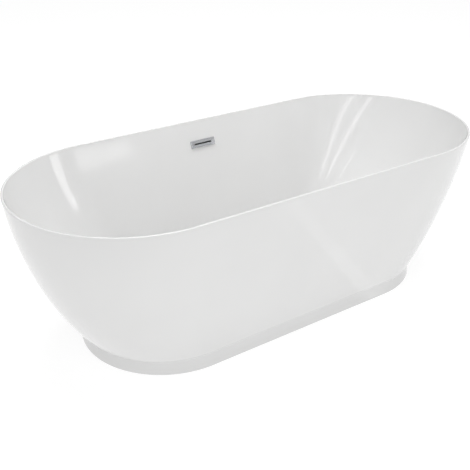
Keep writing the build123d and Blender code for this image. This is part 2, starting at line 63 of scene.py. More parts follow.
WASTE_RECESS_R = 0.0375
WASTE_RECESS = 0.002
WASTE_HOLE_R = 0.022
OVERFLOW_X = 0.0
OVERFLOW_DROP = 0.083


def skirt_half(z, inset=0.0):
    """Outside of the skirt: each end is a circular arc standing on end, each side a straight taper."""
    centre_x = LENGTH / 2 - END_RADIUS * np.cos(END_LEAN)
    centre_z = HEIGHT + END_RADIUS * np.sin(END_LEAN)
    half_length = centre_x + np.sqrt((END_RADIUS - inset) ** 2 - (centre_z - z) ** 2)
    half_width = WIDTH / 2 - SIDE_SLOPE * (HEIGHT - z) - inset * np.hypot(1, SIDE_SLOPE)
    return half_length, half_width


def basin_half(z, grow=0.0):
    """Inside of the basin, moved out by grow: arc (ends) or straight taper (sides), then a fillet
    that is tangent to the wall above and to the floor below."""
    fillet_z = FLOOR + BASIN_FILLET
    radius = BASIN_FILLET + grow
    rise = np.clip(fillet_z - z, 0, radius)
    turn = np.sqrt(radius**2 - rise**2)

    centre_x = LENGTH / 2 - RIM - BASIN_END_RADIUS * np.cos(BASIN_END_LEAN)
    centre_z = HEIGHT + BASIN_END_RADIUS * np.sin(BASIN_END_LEAN)
    reach = BASIN_END_RADIUS - BASIN_FILLET
    fillet_x = centre_x + np.sqrt(reach**2 - (centre_z - fillet_z) ** 2)
    meet_x = centre_z - (BASIN_END_RADIUS + grow) * (centre_z - fillet_z) / reach
    wall_x = centre_x + np.sqrt((BASIN_END_RADIUS + grow) ** 2 - (centre_z - z) ** 2)
    half_length = np.where(z >= meet_x, wall_x, fillet_x + turn)

    slope = np.tan(BASIN_SIDE_LEAN)
    across = np.hypot(1, slope)
    fillet_y = WIDTH / 2 - RIM - slope * (HEIGHT - fillet_z) - BASIN_FILLET * across
    meet_y = fillet_z - radius * slope / across
    wall_y = WIDTH / 2 - RIM - slope * (HEIGHT - z) + grow * across
    half_width = np.where(z >= meet_y, wall_y, fillet_y + turn)
    return half_length, half_width


def rows(*parts):
    """Joins stretches of rings, each (half length, half width, height), into one (n, 3) array."""
    return np.concatenate([np.stack(np.broadcast_arrays(*part), axis=1) for part in parts])


def stadium_rings(ring_rows, around=96, along=72):
    """Points on rings that are two half circles joined by straight sides. For a ring of half length
    a and half width b, x = (a - b) * run + b * cos(turn) and y = b * sin(turn), where run goes from
    1 to -1 along a straight side and turn goes round the ends."""
    bend = np.linspace(-np.pi / 2, np.pi / 2, around, endpoint=False)
    side = np.linspace(1, -1, along, endpoint=False)
    turn = np.concatenate([bend, np.full(along, np.pi / 2), bend + np.pi, np.full(along, -np.pi / 2)])
    run = np.concatenate([np.ones(around), side, -np.ones(around), -side])
    a, b, z = (ring_rows[:, i, None] for i in range(3))
    x = (a - b) * run + b * np.cos(turn)
    y = b * np.sin(turn)
    return np.stack(np.broadcast_arrays(x, y, z), axis=2)


def grid_mesh(name, points, close_rows=False, close_columns=True):
    """Mesh of quads over a grid of points, shape (rows, columns, 3), closed round either way."""
    count_r, count_c = points.shape[:2]
    index = np.arange(count_r * count_c).reshape(count_r, count_c)
    if close_rows:
        index = np.vstack([index, index[:1]])
    if close_columns:
        index = np.hstack([index, index[:, :1]])
    quads = np.stack([index[:-1, :-1], index[:-1, 1:], index[1:, 1:], index[1:, :-1]], axis=2)
    mesh = bpy.data.meshes.new(name)
    mesh.from_pydata(points.reshape(-1, 3), [], quads.reshape(-1, 4))
    mesh.validate()
    return mesh


def add_piece(name, mesh, material, body, slot, *replaced, sharp=np.radians(35)):
    mesh.shade_smooth()
    mesh.set_sharp_from_angle(angle=sharp)
    piece = bpy.data.objects.new(name, mesh)
    bpy.context.scene.collection.objects.link(piece)
    piece.data.materials.append(material)
    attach(piece, body)
    if replaced:
        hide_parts(*replaced)
    return piece


def new_material(name, colour, roughness, metallic=0.0):
    """Principled material with its fixed numbers set on the shader's own sockets."""
    material = bpy.data.materials.new(name)
    material.use_nodes = True
    shader = material.node_tree.nodes["Principled BSDF"]
    shader.inputs["Base Color"].default_value = (*colour, 1)
    shader.inputs["Roughness"].default_value = roughness
    shader.inputs["Metallic"].default_value = metallic
    return material, shader


def noise(material, scale, detail=3.0, stretch=(1, 1, 1)):
    """Noise on object coordinates, in cycles per metre, stretched by a Mapping node."""
    nodes, links = material.node_tree.nodes, material.node_tree.links
    where = nodes.new("ShaderNodeTexCoord")
    mapping = nodes.new("ShaderNodeMapping")
    mapping.inputs["Scale"].default_value = stretch
    texture = nodes.new("ShaderNodeTexNoise")
    texture.inputs["Scale"].default_value = scale
    texture.inputs["Detail"].default_value = detail
    links.new(where.outputs["Object"], mapping.inputs["Vector"])
    links.new(mapping.outputs["Vector"], texture.inputs["Vector"])
    return texture.outputs["Fac"]


def ramp(material, fac, *stops):
    """Colour ramp from (position, grey or colour) stops."""
    node = material.node_tree.nodes.new("ShaderNodeValToRGB")
    elements = node.color_ramp.elements
    while len(elements) < len(stops):
        elements.new(0.5)
    for element, (position, value) in zip(elements, stops):
        element.position = position
        element.color = (value, value, value, 1) if np.isscalar(value) else (*value, 1)
    material.node_tree.links.new(fac, node.inputs["Fac"])
    return node.outputs["Color"]


def bump(material, shader, height, distance, strength=1.0, below=None):
    """Bump of a real depth in metres, chained on an earlier bump if one is given."""
    node = material.node_tree.nodes.new("ShaderNodeBump")
    node.inputs["Distance"].default_value = distance
    node.inputs["Strength"].default_value = strength
    material.node_tree.links.new(height, node.inputs["Height"])
    if below is not None:
        material.node_tree.links.new(below, node.inputs["Normal"])
    material.node_tree.links.new(node.outputs["Normal"], shader.inputs["Normal"])
    return node.outputs["Normal"]


# white acrylic: deep gloss over a faint forming ripple and a finer orange peel
acrylic, shader = new_material("white acrylic", (0.70, 0.70, 0.697), 0.08)
shader.inputs["Specular IOR Level"].default_value = 0.4
shader.inputs["Coat Weight"].default_value = 0.15
shader.inputs["Coat Roughness"].default_value = 0.04
tone = ramp(acrylic, noise(acrylic, 3.5, 2), (0.3, (0.69, 0.69, 0.687)), (0.7, (0.71, 0.71, 0.707)))
acrylic.node_tree.links.new(tone, shader.inputs["Base Color"])
gloss = ramp(acrylic, noise(acrylic, 14, 4), (0.3, 0.07), (0.75, 0.12))
acrylic.node_tree.links.new(gloss, shader.inputs["Roughness"])
ripple = bump(acrylic, shader, noise(acrylic, 9, 1), 0.0007, 0.6)
bump(acrylic, shader, noise(acrylic, 450, 2), 0.00002, 0.4, ripple)

lip_foot = HEIGHT - LIP
fillet_turn = np.radians(np.linspace(0, 84, 26))


def skin_at(z):
    """Thickness of the skin: full below the rim, half of the rim at the lip."""
    share = np.clip((HEIGHT - z) / RIM_FADE, 0, 1)
    return RIM / 2 + (SKIN - RIM / 2) * share


back_floor = np.linspace(0, 1, 10, endpoint=False)
back_end, back_side = basin_half(np.array([FLOOR - SKIN]), SKIN)
back_fillet_z = FLOOR + BASIN_FILLET - (BASIN_FILLET + SKIN) * np.cos(fillet_turn)
back_z = np.concatenate([back_fillet_z, np.linspace(back_fillet_z[-1], lip_foot, 26)[1:]])
lip_z = np.linspace(lip_foot, HEIGHT - RIM / 2, 4)
nose = np.radians(np.linspace(0, 180, 17))[1:-1]
outer_end, outer_side = skirt_half(HEIGHT - RIM / 2)
inner_end, inner_side = basin_half(np.array(HEIGHT - RIM / 2))
wall_foot = FLOOR + BASIN_FILLET * (1 - np.cos(fillet_turn[-1]))
inside_z = np.concatenate([
    np.linspace(HEIGHT - RIM / 2, wall_foot, 60, endpoint=False),
    (FLOOR + BASIN_FILLET - BASIN_FILLET * np.cos(fillet_turn))[::-1],
])
floor_end, floor_side = basin_half(np.array(FLOOR))
floor_in = np.linspace(0, 1, 28)[1:]
recess_r = np.array([WASTE_RECESS_R, WASTE_RECESS_R - 0.0006, WASTE_RECESS_R - 0.0008])
recess_z = FLOOR - np.array([0.0002, 0.0008, WASTE_RECESS])
basin_rows = rows(
    (
        WASTE_HOLE_R + (back_end - WASTE_HOLE_R) * back_floor,
        WASTE_HOLE_R + (back_side - WASTE_HOLE_R) * back_floor,
        FLOOR - SKIN,
    ),
    (*basin_half(back_z, skin_at(back_z)), back_z),
    (*skirt_half(lip_z), lip_z),
    (
        (outer_end + inner_end) / 2 + (outer_end - inner_end) / 2 * np.cos(nose),
        (outer_side + inner_side) / 2 + (outer_side - inner_side) / 2 * np.cos(nose),
        HEIGHT - RIM / 2 + RIM / 2 * np.sin(nose),
    ),
    (*basin_half(inside_z), inside_z + FLOOR_FALL * np.clip(1 - (inside_z - FLOOR) / BASIN_FILLET, 0, 1)),
    (
        floor_end + (WASTE_RECESS_R + 0.001 - floor_end) * floor_in,
        floor_side + (WASTE_RECESS_R + 0.001 - floor_side) * floor_in,
        FLOOR + FLOOR_FALL * (1 - floor_in),
    ),
    (recess_r, recess_r, recess_z),
    (np.array([0.030, WASTE_HOLE_R]), np.array([0.030, WASTE_HOLE_R]), FLOOR - WASTE_RECESS),
)
basin_mesh = grid_mesh("basin", stadium_rings(basin_rows), close_rows=True)
basin = add_piece("basin", basin_mesh, acrylic, "bath", "acrylic_white", "inner_basin")

# ---- skirt ----
# The outer skin, the same white acrylic, glued to the basin under the rim. Its foot is a moulded
# plinth with a soft neck above it, and a flange turned in along the floor.
WALL_FOOT = 0.050
NECK_FOOT = 0.0415
PLINTH_TOP = 0.0435
PLINTH_TOP_HALF = np.array([0.653, 0.2795])
PLINTH_HALF = np.array([0.659, 0.287])
PLINTH_FLANGE = 0.020
SEAM = 0.00006


def plinth_half(z, inset=0.0):
    """Outside of the plinth: a straight taper from the floor up to its top edge."""
    share = z / PLINTH_TOP
    return [PLINTH_HALF[i] + (PLINTH_TOP_HALF[i] - PLINTH_HALF[i]) * share - inset for i in range(2)]


def foot_half(z):
    """Plinth below, wall above, with an eased step (3t^2 - 2t^3) between them at the neck."""
    t = np.clip((z - NECK_FOOT) / (WALL_FOOT + 0.002 - NECK_FOOT), 0, 1)
    ease = t * t * (3 - 2 * t)
    return [low + (high - low) * ease for low, high in zip(plinth_half(z), skirt_half(z))]


top_z = lip_foot - SEAM
wall_z = np.concatenate([
    np.linspace(top_z, WALL_FOOT + 0.004, 70, endpoint=False),
    np.linspace(WALL_FOOT + 0.004, NECK_FOOT - 0.001, 22, endpoint=False),
    np.linspace(NECK_FOOT - 0.001, 0.002, 8),
])
edge = np.radians(np.linspace(0, 90, 5))[1:]
inside_up = np.linspace(WALL_FOOT, top_z, 26)
flange_end, flange_side = PLINTH_HALF - SKIN - PLINTH_FLANGE
foot_end, foot_side = plinth_half(0.002)
skirt_rows = rows(
    (*foot_half(wall_z), wall_z),
    (
        foot_end - 0.002 * (1 - np.cos(edge)),
        foot_side - 0.002 * (1 - np.cos(edge)),
        0.002 - 0.002 * np.sin(edge),
    ),
    (np.array([flange_end] * 2), np.array([flange_side] * 2), np.array([0, SKIN])),
    (*plinth_half(np.linspace(SKIN, PLINTH_TOP, 5), SKIN), np.linspace(SKIN, PLINTH_TOP, 5)),
    (*skirt_half(inside_up, SKIN * np.clip((HEIGHT - inside_up) / RIM_FADE, 0.62, 1)), inside_up),
)
skirt_mesh = grid_mesh("skirt", stadium_rings(skirt_rows), close_rows=True)
add_piece("skirt", skirt_mesh, acrylic, "bath", "acrylic_white", "outer_shell")

# ---- overflow plate ----
# A chrome-plated brass plate clipped over the overflow hole. It has a raised border, a sunk face
# and one long slot, and it leans with the wall behind it.
PLATE = np.array([0.102, 0.028])
PLATE_DEEP = 0.0046
SLOT = np.array([0.072, 0.005])
BORDER = 0.0035
HOLE = np.array([0.080, 0.012])

chrome, shader = new_material("polished chrome", (0.56, 0.57, 0.59), 0.06, 1.0)
smear = ramp(chrome, noise(chrome, 60, 4), (0.35, 0.04), (0.8, 0.12))
chrome.node_tree.links.new(smear, shader.inputs["Roughness"])
bump(chrome, shader, noise(chrome, 90, 1), 0.0001, 0.15)

overflow_z = HEIGHT - OVERFLOW_DROP
overflow_y = float(basin_half(np.array(overflow_z))[1])
wall_up = np.array([0, np.sin(BASIN_SIDE_LEAN), np.cos(BASIN_SIDE_LEAN)])
wall_out = np.array([0, -np.cos(BASIN_SIDE_LEAN), np.sin(BASIN_SIDE_LEAN)])
overflow_at = np.array([OVERFLOW_X, overflow_y, overflow_z])


def rounded_rectangle_rings(ring_rows, steps=8):
    """Rings of (half width, half height, corner radius, depth): each corner is a quarter circle of
    that radius about a centre that is the radius in from both sides."""
    corner = np.arange(4)
    turn = (corner[:, None] + np.linspace(0, 1, steps)) * np.pi / 2
    sign_u = np.array([1, -1, -1, 1])[:, None] * np.ones(steps)
    sign_v = np.array([1, 1, -1, -1])[:, None] * np.ones(steps)
    u_half, v_half, radius, depth = (ring_rows[:, i, None] for i in range(4))
    u = sign_u.ravel() * (u_half - radius) + radius * np.cos(turn.ravel())
    v = sign_v.ravel() * (v_half - radius) + radius * np.sin(turn.ravel())
    return u, v, np.broadcast_to(depth, u.shape)


def closed_mesh(name, *grids, close_rows=True):
    """One mesh from several grids closed round their columns. Doubled points at poles and seams are
    merged, and all faces are turned outwards."""
    shape = bmesh.new()
    for points in grids:
        part = grid_mesh(name, points, close_rows=close_rows)
        shape.from_mesh(part)
        bpy.data.meshes.remove(part)
    bmesh.ops.remove_doubles(shape, verts=shape.verts, dist=2e-6)
    bmesh.ops.dissolve_degenerate(shape, edges=shape.edges, dist=1e-7)
    bmesh.ops.recalc_face_normals(shape, faces=shape.faces)
    mesh = bpy.data.meshes.new(name)
    shape.to_mesh(mesh)
    shape.free()
    return mesh


def capped(points):
    """Adds a pole point at each end of a grid, so that the shape is closed."""
    poles = points[[0, -1]].mean(axis=1, keepdims=True).repeat(points.shape[1], axis=1)
    return np.concatenate([poles[:1], points, poles[1:]])


def on_wall(u, v, depth):
    """Points at u along the bath, v up the sloping wall and depth out of it, from the plate's middle."""
    flat = u[..., None] * np.array([-1, 0, 0]) + v[..., None] * wall_up
    return overflow_at + flat + depth[..., None] * wall_out


# the overflow hole, cut through the basin wall behind the plate
hole_half = HOLE / 2
hole_rows = np.array([[*hole_half, hole_half[1] - 1e-5, depth] for depth in (-3 * SKIN, SKIN)])
cutter_rows = capped(on_wall(*rounded_rectangle_rings(hole_rows)))
cutter = bpy.data.objects.new("cutter", closed_mesh("cutter", cutter_rows, close_rows=False))
bpy.context.scene.collection.objects.link(cutter)
cut = basin.modifiers.new("overflow hole", "BOOLEAN")
cut.operation = "DIFFERENCE"
cut.object = cutter
cut_mesh = bpy.data.meshes.new_from_object(basin.evaluated_get(bpy.context.evaluated_depsgraph_get()))
basin.modifiers.clear()
basin.data = cut_mesh
bpy.data.objects.remove(cutter)

half = PLATE / 2
slot_half = SLOT / 2
plate_rows = np.array([
    [*slot_half, 0.0010, 0.0006],
    [*slot_half, 0.0010, PLATE_DEEP - 0.0012],
    [*(slot_half + 0.0001), 0.0011, PLATE_DEEP - 0.0010],
    [*(slot_half + 0.0004), 0.0014, PLATE_DEEP - 0.0008],
    [*(half - BORDER - 0.0007), 0.0010, PLATE_DEEP - 0.0008],
    [*(half - BORDER - 0.0002), 0.0012, PLATE_DEEP - 0.0006],
    [*(half - BORDER), 0.0014, PLATE_DEEP - 0.0002],
    [*(half - BORDER + 0.0003), 0.0016, PLATE_DEEP],
    [*(half - 0.0012), 0.0016, PLATE_DEEP],
    [*(half - 0.0004), 0.0020, PLATE_DEEP - 0.0004],
    [*half, 0.0024, PLATE_DEEP - 0.0012],
    [*half, 0.0024, 0.0006],
])
plate_mesh = closed_mesh("overflow_plate", on_wall(*rounded_rectangle_rings(plate_rows)))
add_piece("overflow_plate", plate_mesh, chrome, "bath", "chrome", "overflow_cover")

# ---- plug ----
# The click-clack plug: a domed chrome cap on a brass stem, with a black rubber ring under its edge.
# A push sends it down 9 mm on to the waste, and the next push lets it up.
PLUG_FOOT = 0.1273
PLUG_PROFILE = [(0.0, 6.0), (8, 5.78), (16, 5.1), (23, 4.1), (28, 3.15), (30.4, 2.55), (31.6, 1.9),
                (32, 1.2), (31.7, 0.5), (31, 0.1), (29, 0.0), (6, 0.0), (0.0, 0.0)]
SEAL_PROFILE = [(21, 0.2), (21.3, 0.0), (24.5, 0.0), (26.6, -0.9), (27.6, -1.9), (27.9, -1.9),
                (28, -1.6), (27.8, -0.4), (27.4, -0.05), (24, -0.0)]


def turned(profile, at, axis=(0, 0, 1), steps=72, twist=None):
    """Grid of points of a turned shape: profile rows (radius, height) in millimetres, carried round
    the axis through at. The radius may swell round the turn by twist(turn, height)."""
    profile = np.asarray(profile, float) / 1000
    along = np.asarray(axis, float)
    side = np.array([1.0, 0, 0]) if abs(along[0]) < 0.9 else np.array([0, 1.0, 0])
    across = np.cross(along, side)
    across /= np.linalg.norm(across)
    side = np.cross(across, along)
    turn = np.linspace(0, 2 * np.pi, steps, endpoint=False)
    radius, height = np.broadcast_arrays(profile[:, :1], turn)[0].copy(), profile[:, 1:]
    if twist is not None:
        radius = radius + twist(turn[None, :], height) * (radius > 0)
    round_part = np.cos(turn)[:, None] * side + np.sin(turn)[:, None] * across
    return np.asarray(at) + radius[..., None] * round_part + height[..., None] * along


def moulded(name, colour, roughness, grain, depth, spread=0.06):
    """Moulded plastic or rubber: a fine spark-eroded grain, and slightly uneven colour and sheen."""
    material, shader = new_material(name, colour, roughness)
    low = tuple(c * (1 - spread) for c in colour)
    high = tuple(min(c * (1 + spread), 1) for c in colour)
    tone = ramp(material, noise(material, 40, 4), (0.3, low), (0.7, high))
    material.node_tree.links.new(tone, shader.inputs["Base Color"])
    sheen = ramp(material, noise(material, 120, 3), (0.3, roughness - 0.08), (0.75, roughness + 0.08))
    material.node_tree.links.new(sheen, shader.inputs["Roughness"])
    bump(material, shader, noise(material, grain, 2), depth, 0.5)
    return material


def metal(name, colour, roughness, mottle, spread=0.05, stretch=(1, 1, 1)):
    """Bare or plated metal: cloudy colour and roughness, with fine marks along one direction."""
    material, shader = new_material(name, colour, roughness, 1.0)
    low = tuple(c * (1 - spread) for c in colour)
    high = tuple(min(c * (1 + spread), 1) for c in colour)
    tone = ramp(material, noise(material, mottle, 5, stretch), (0.3, low), (0.7, high))
    material.node_tree.links.new(tone, shader.inputs["Base Color"])
    sheen = ramp(material, noise(material, 2.2 * mottle, 4), (0.3, 0.75 * roughness), (0.7, 1.3 * roughness))
    material.node_tree.links.new(sheen, shader.inputs["Roughness"])
    bump(material, shader, noise(material, 900, 2, stretch), 0.00003, 0.5)
    return material


brass = metal("turned brass", (0.62, 0.45, 0.20), 0.28, 80)
rubber = moulded("black rubber", (0.028, 0.028, 0.030), 0.55, 900, 0.00005)
add_piece("plug", closed_mesh("plug", turned(PLUG_PROFILE, (0, 0, PLUG_FOOT), steps=96)),
          chrome, "plug", "chrome", "plug_cap")
add_piece("plug_ring", closed_mesh("plug_ring", turned(SEAL_PROFILE, (0, 0, PLUG_FOOT), steps=96)),
          rubber, "plug", "rubber", "plug_seal")
stem_low, stem_high = (point[2] * 1000 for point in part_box("plug_stem"))
STEM_R = 3.0
STEM_NECK_R = 2.5
stem_profile = [
    (0, stem_low), (2.2, stem_low), (STEM_R, stem_low + 0.8), (STEM_R, stem_low + 14),
    (STEM_NECK_R, stem_low + 14.6), (STEM_NECK_R, stem_low + 17), (STEM_R, stem_low + 17.6),
    (STEM_R, stem_high - 0.05), (0, stem_high - 0.05),
]
add_piece("plug_rod", closed_mesh("plug_rod", turned(stem_profile, (0, 0, 0), steps=40)),
          brass, "plug", "brass", "plug_stem")

# ---- waste ----
# A chrome flange whose threaded throat screws down into a white plastic body and grips the basin
# floor between a soft ring above and a thick rubber ring below. Cross arms hold the brass latch.
SEAT = 113.0
FLANGE_TOP = 116.0
THREAD_PITCH = 2.0
throat_down = np.arange(104, 67, -THREAD_PITCH / 4)
thread_wave = 0.35 * (1 + np.cos(2 * np.pi * throat_down / THREAD_PITCH))
flange_profile = np.concatenate([
    [(19, 66.2), (19, FLANGE_TOP - 2.4), (19.6, FLANGE_TOP - 1.1), (21.2, FLANGE_TOP - 0.25),
     (23, FLANGE_TOP), (32.5, FLANGE_TOP), (34.1, FLANGE_TOP - 0.4), (34.9, FLANGE_TOP - 1.3),
     (35, FLANGE_TOP - 2.1), (34.6, FLANGE_TOP - 2.2), (21, FLANGE_TOP - 2.2), (21, 105)],
    np.stack([21 - thread_wave, throat_down], axis=1),
    [(20.2, 66.2)],
])


def arm_bar(turn, low, high, near, reach, half):
    """Closed bar from the hub to the throat: rectangular section rings from near to reach, its top
    chamfered by 0.6 mm."""
    run = np.linspace(near, reach, 5)
    face = np.array([(-half, low), (half, low), (half, high - 0.6), (half - 0.6, high),
                     (-half + 0.6, high), (-half, high - 0.6)])
    x = run[:, None] * np.cos(turn) - face[:, 0] * np.sin(turn)
    y = run[:, None] * np.sin(turn) + face[:, 0] * np.cos(turn)
    z = np.broadcast_to(face[:, 1], x.shape)
    ring = np.stack([x, y, z], axis=2) / 1000
    ends = ring[[0, -1]].mean(axis=1, keepdims=True)
    return np.concatenate([np.repeat(ends[:1], 6, axis=1), ring, np.repeat(ends[1:], 6, axis=1)])


HUB_BORE_R = 6.05
ARM_LOW = 96.05
ARM_HIGH = 101.9
ARM_NEAR = 6.5
ARM_FAR = 19.3
ARM_HALF = 2
hub_profile = [(HUB_BORE_R, 96), (8, 96), (8, 101.4), (7.4, 102), (HUB_BORE_R, 102)]
quarter_turns = np.pi / 2 * np.arange(4)
bars = [arm_bar(turn, ARM_LOW, ARM_HIGH, ARM_NEAR, ARM_FAR, ARM_HALF) for turn in quarter_turns]
flange_parts = [turned(flange_profile, (0, 0, 0), steps=96), turned(hub_profile, (0, 0, 0))]
flange_mesh = closed_mesh("waste_ring", *flange_parts)
bar_mesh = closed_mesh("waste_arms", *bars, close_rows=False)
add_piece("waste_ring", flange_mesh, chrome, "bath", "chrome", "waste_flange")
add_piece("waste_arms", bar_mesh, chrome, "bath", "chrome")
latch_profile = [(3.1, 85), (3.1, 105), (7.2, 105), (8, 104.4), (8, 102.4), (7.4, 102.02), (6, 102.02),
                 (6, 95), (5.5, 94.5), (5.5, 93), (6, 92.5), (6, 83), (5.4, 82), (0, 82), (0, 85)]
add_piece("latch", closed_mesh("latch", turned(latch_profile, (0, 0, 0), steps=48)),
          brass, "bath", "brass", "click_cartridge")
soft_profile = [(22, SEAT + 0.05), (22, SEAT + 0.75), (33.6, SEAT + 0.75), (34, SEAT + 0.4),
                (33.6, SEAT + 0.05)]
thick_profile = [(22, 107.1), (22, 109.7), (23, 109.9), (36.6, 109.9), (37.8, 109.3), (38, 108.4),
                 (37.8, 107.5), (36.6, 106.95), (23, 106.95)]
add_piece("flange_washer", closed_mesh("flange_washer", turned(soft_profile, (0, 0, 0))),
          rubber, "bath", "rubber", "flange_gasket")
add_piece("floor_washer", closed_mesh("floor_washer", turned(thick_profile, (0, 0, 0))),
          rubber, "bath", "rubber", "lower_gasket")

# ---- feet ----
# Six M12 studs, each with a forged spanner collar, in a welded nut and a loose lock nut. Each stud
# stands in the bore of a ribbed black plastic pad, with room to turn.
STUD_PITCH = 1.75
STUD_R = 6.0
FLATS = 19.0
CREST_GAP = 0.03
THREAD_DEPTH = 0.75
stud_rows = np.arange(20.6, 60.6, STUD_PITCH / 6)
zinc = metal("zinc plate", (0.60, 0.60, 0.61), 0.30, 60)
pad_plastic = moulded("black moulded plastic", (0.022, 0.022, 0.024), 0.42, 700, 0.00004)


def threaded(rows, radius, pitch, depth, at, steps=32):
    """Screw thread: radius = crest - depth * triangle(height / pitch - turn), whose ridge climbs by
    one pitch in each turn. It fades to a plain end over the last pitch at either end."""
    turn = np.linspace(0, 2 * np.pi, steps, endpoint=False)
    phase = (rows[:, None] / pitch - turn / (2 * np.pi)) % 1
    valley = np.abs(2 * phase - 1)
    fade = np.clip(np.minimum(rows - rows[0], rows[-1] - rows)[:, None] / pitch, 0, 1)
    r = radius - depth * (1 - (1 - valley) * fade)
    r = np.where(fade == 0, radius - depth, r)
    x = at[0] * 1000 + r * np.cos(turn)
    y = at[1] * 1000 + r * np.sin(turn)
    return np.stack([x, y, np.broadcast_to(rows[:, None], x.shape)], axis=2) / 1000


def hexagon(low, high, flats, bore, at, steps=72):
    """Chamfered hexagon: radius = half the flats / cos(angle to the nearest flat), and near each
    face no more than a 30 degree cone lets it be."""
    turn = np.linspace(0, 2 * np.pi, steps, endpoint=False)
    near = (turn + np.pi / 6) % (np.pi / 3) - np.pi / 6
    flat = flats / 2 / np.cos(near)
    heights = np.array([low, low, low + 0.5, low + 1.1, high - 1.1, high - 0.5, high, high])
    inward = np.minimum(heights - low, high - heights)
    cone = flats / 2 - 0.25 + np.minimum(inward, 1.1)[:, None] / np.tan(np.radians(30))
    r = np.minimum(flat, cone)
    r[[0, -1]] = bore
    x = at[0] * 1000 + r * np.cos(turn)
    y = at[1] * 1000 + r * np.sin(turn)
    return np.stack([x, y, np.broadcast_to(heights[:, None], x.shape)], axis=2) / 1000


def pad_ribs(turn, height):
    """24 shallow flutes, 0.6 mm deep, down the cone of the pad; the bore's floor is below them."""
    return -0.0006 * (np.cos(24 * turn) > 0.5) * (height > 0.0052) * (height < 0.0118)


feet = [tuple((low + high) / 2 for low, high in zip(*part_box(f"foot_pad_{n}"))) for n in range(1, 7)]
for number, (x, y, _) in enumerate(feet, start=1):
    shank = threaded(stud_rows, STUD_R - CREST_GAP, STUD_PITCH, THREAD_DEPTH, (x, y))
    collar = hexagon(14.5, 19.5, FLATS, 5.0, (x, y))
    foot_end = turned([(0, 5.1), (4, 5.1), (5.2, 5.6), (5.9, 7), (5.9, 14.4), (5, 14.9), (5, 19.2),
                       (5.24, 20.6), (0, 20.7)], (x, y, 0), steps=32)
    stud_mesh = closed_mesh(f"stud_{number}", capped(shank), foot_end, close_rows=False)
    collar_mesh = closed_mesh(f"stud_collar_{number}", collar)
    add_piece(f"threaded_stud_{number}", stud_mesh, zinc, f"stud_{number}", "zinc_steel",
              f"foot_stud_{number}")
    add_piece(f"stud_collar_{number}", collar_mesh, zinc, f"stud_{number}", "zinc_steel")
    pad_profile = [(0, 0), (23.8, 0), (24.8, 0.5), (25, 1.2), (25, 3.2), (24.6, 4), (22.4, 4.5), (19.6, 6.4),
                   (16.2, 8.8), (13.4, 11.4), (12.1, 12.4), (11.4, 12.95), (6.6, 13), (6.1, 12.5),
                   (6.1, 4.96), (0, 4.96)]
    pad_mesh = closed_mesh(f"pad_{number}", turned(pad_profile, (x, y, 0), steps=96, twist=pad_ribs))
    add_piece(f"pad_{number}", pad_mesh, pad_plastic, f"foot_{number}", "black_plastic",
              f"foot_pad_{number}")

NUT_BORE_R = STUD_R + 0.1
welded = [hexagon(39.6, 47.55, FLATS, NUT_BORE_R, place) for place in feet]
loose = [hexagon(32.1, 39.0, FLATS, NUT_BORE_R, place) for place in feet]
add_piece("welded_nuts", closed_mesh("welded_nuts", *welded), zinc, "bath", "zinc_steel", "weld_nuts")
add_piece("loose_nuts", closed_mesh("loose_nuts", *loose), zinc, "bath", "zinc_steel", "lock_nuts")

# ---- steel frame ----
# Cold-rolled square tube, hot-dip galvanised, with its rails MIG-welded across the cross members.
# The weld beads are laid after plating and brushed with zinc paint.
galvanised = metal("galvanised steel", (0.50, 0.52, 0.54), 0.38, 45, 0.16)
bead_metal = metal("painted weld", (0.36, 0.36, 0.37), 0.5, 200, 0.15)


def finish_node(node, material):
    """Gives a carried-over CAD piece its real material."""
    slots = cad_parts[node].material_slots
    if len(slots) == 0:
        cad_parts[node].data.materials.append(material)
    for material_slot in slots:
        material_slot.material = material


for node in ("rail_left", "rail_right", "cross_member_head", "cross_member_middle", "cross_member_foot"):
    finish_node(node, galvanised)


def weld_bead(start, end, radius=0.0016, ripples=9):
    """Bead along a seam: a tube whose radius swells by 18% at each ripple and rounds off at its ends."""
    t = np.linspace(0, 1, 8 * ripples + 1)
    r = radius * (1 + 0.18 * np.sin(2 * np.pi * ripples * t)) * np.sqrt(np.clip(1 - (2 * t - 1) ** 8, 0, 1))
    along = np.subtract(end, start)
    along = along / np.linalg.norm(along)
    side = np.cross(along, (0, 0, 1))
    turn = np.linspace(0, 2 * np.pi, 10, endpoint=False)
    ring = np.cos(turn)[:, None] * side + np.sin(turn)[:, None] * np.array([0, 0, 1.0])
    return np.add(start, t[:, None, None] * np.subtract(end, start)) + r[:, None, None] * ring


NUT_SEAM_Z = 0.0474
NUT_SEAM_R = 0.0101
NUT_SEAM_HALF = 0.004
beads = []
for rail in ("rail_left", "rail_right"):
    rail_low, rail_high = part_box(rail)
    for member in ("cross_member_head", "cross_member_middle", "cross_member_foot"):
        low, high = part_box(member)
        for y in (rail_low[1] + 0.0004, rail_high[1] - 0.0004):
            beads.append(weld_bead((low[0] + 0.003, y, high[2]), (high[0] - 0.003, y, high[2])))
for x, y, _ in feet:
    for turn in np.arange(3) * 2 * np.pi / 3 + np.pi / 6:
        out = np.array([np.cos(turn), np.sin(turn), 0])
        side = np.array([-np.sin(turn), np.cos(turn), 0]) * NUT_SEAM_HALF
        seam = np.array([x, y, NUT_SEAM_Z]) + out * NUT_SEAM_R
        beads.append(weld_bead(seam - side, seam + side, 0.0013, 5))
bead_mesh = closed_mesh("weld_beads", *beads, close_rows=False)
add_piece("weld_beads", bead_mesh, bead_metal, "bath", "galvanised_steel")

